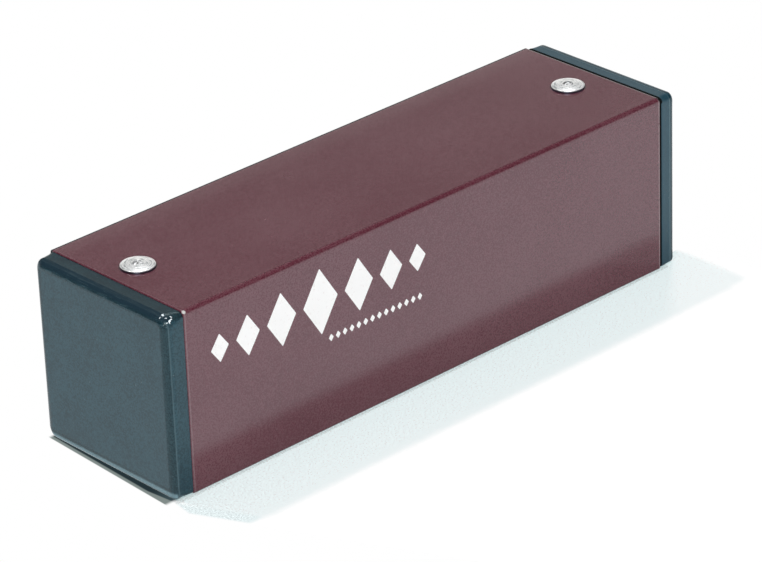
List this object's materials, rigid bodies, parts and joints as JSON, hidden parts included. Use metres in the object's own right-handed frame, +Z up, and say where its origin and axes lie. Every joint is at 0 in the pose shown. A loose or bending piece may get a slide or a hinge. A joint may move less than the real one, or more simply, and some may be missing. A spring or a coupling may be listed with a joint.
{
  "type": "square metal shaker",
  "caption": "Square-section metal hand shaker: a maroon tube closed by black end plugs held with blind rivets, with loose steel shot inside.",
  "frame": {"origin": "centre of the case's outline on the surface that it stands on", "axes": "+X along the tube towards the plug whose rivet lies further in, +Y away from the printed side, +Z up through the side with the rivets"},
  "size_m": [0.1608, 0.045, 0.0459],
  "materials": {
    "tube_paint": "maroon gloss powder coat on an aluminium tube",
    "plug_plastic": "black moulded plastic with a fine matte grain",
    "rivet_aluminium": "bright drawn aluminium",
    "mandrel_steel": "zinc plated steel, broken end bare",
    "shot_steel": "polished steel balls",
    "print_ink": "white screen-printed ink"
  },
  "bodies": {
    "shaker_case": {"tube_body": "tube_paint", "left_end_plug": "plug_plastic", "right_end_plug": "plug_plastic", "left_rivet": "rivet_aluminium", "right_rivet": "rivet_aluminium", "left_rivet_mandrel": "mandrel_steel", "right_rivet_mandrel": "mandrel_steel"},
    "shot_lane_1": {"shot_1_1": "shot_steel", "shot_1_2": "shot_steel", "shot_1_3": "shot_steel", "shot_1_4": "shot_steel", "shot_1_5": "shot_steel", "shot_1_6": "shot_steel"},
    "shot_lane_2": {"shot_2_1": "shot_steel", "shot_2_2": "shot_steel", "shot_2_3": "shot_steel", "shot_2_4": "shot_steel", "shot_2_5": "shot_steel", "shot_2_6": "shot_steel"},
    "shot_lane_3": {"shot_3_1": "shot_steel", "shot_3_2": "shot_steel", "shot_3_3": "shot_steel", "shot_3_4": "shot_steel", "shot_3_5": "shot_steel", "shot_3_6": "shot_steel"},
    "shot_lane_4": {"shot_4_1": "shot_steel", "shot_4_2": "shot_steel", "shot_4_3": "shot_steel", "shot_4_4": "shot_steel", "shot_4_5": "shot_steel", "shot_4_6": "shot_steel"},
    "shot_lane_5": {"shot_5_1": "shot_steel", "shot_5_2": "shot_steel", "shot_5_3": "shot_steel", "shot_5_4": "shot_steel", "shot_5_5": "shot_steel", "shot_5_6": "shot_steel"},
    "shot_lane_6": {"shot_6_1": "shot_steel", "shot_6_2": "shot_steel", "shot_6_3": "shot_steel", "shot_6_4": "shot_steel", "shot_6_5": "shot_steel", "shot_6_6": "shot_steel"},
    "shot_lane_7": {"shot_7_1": "shot_steel", "shot_7_2": "shot_steel", "shot_7_3": "shot_steel", "shot_7_4": "shot_steel", "shot_7_5": "shot_steel", "shot_7_6": "shot_steel"},
    "shot_lane_8": {"shot_8_1": "shot_steel", "shot_8_2": "shot_steel", "shot_8_3": "shot_steel", "shot_8_4": "shot_steel", "shot_8_5": "shot_steel", "shot_8_6": "shot_steel"}
  },
  "joints": [
    {"name": "shot_lane_1_roll", "type": "slide", "parent": "shaker_case", "child": "shot_lane_1", "axis": [1, 0, 0], "range_m": [-0.02034, 0.02575]},
    {"name": "shot_lane_2_roll", "type": "slide", "parent": "shaker_case", "child": "shot_lane_2", "axis": [1, 0, 0], "range_m": [-0.02296, 0.02656]},
    {"name": "shot_lane_3_roll", "type": "slide", "parent": "shaker_case", "child": "shot_lane_3", "axis": [1, 0, 0], "range_m": [-0.0277, 0.02042]},
    {"name": "shot_lane_4_roll", "type": "slide", "parent": "shaker_case", "child": "shot_lane_4", "axis": [1, 0, 0], "range_m": [-0.02263, 0.02279]},
    {"name": "shot_lane_5_roll", "type": "slide", "parent": "shaker_case", "child": "shot_lane_5", "axis": [1, 0, 0], "range_m": [-0.02051, 0.0277]},
    {"name": "shot_lane_6_roll", "type": "slide", "parent": "shaker_case", "child": "shot_lane_6", "axis": [1, 0, 0], "range_m": [-0.02668, 0.02279]},
    {"name": "shot_lane_7_roll", "type": "slide", "parent": "shaker_case", "child": "shot_lane_7", "axis": [1, 0, 0], "range_m": [-0.0256, 0.02042]},
    {"name": "shot_lane_8_roll", "type": "slide", "parent": "shaker_case", "child": "shot_lane_8", "axis": [1, 0, 0], "range_m": [-0.01999, 0.02656]}
  ]
}
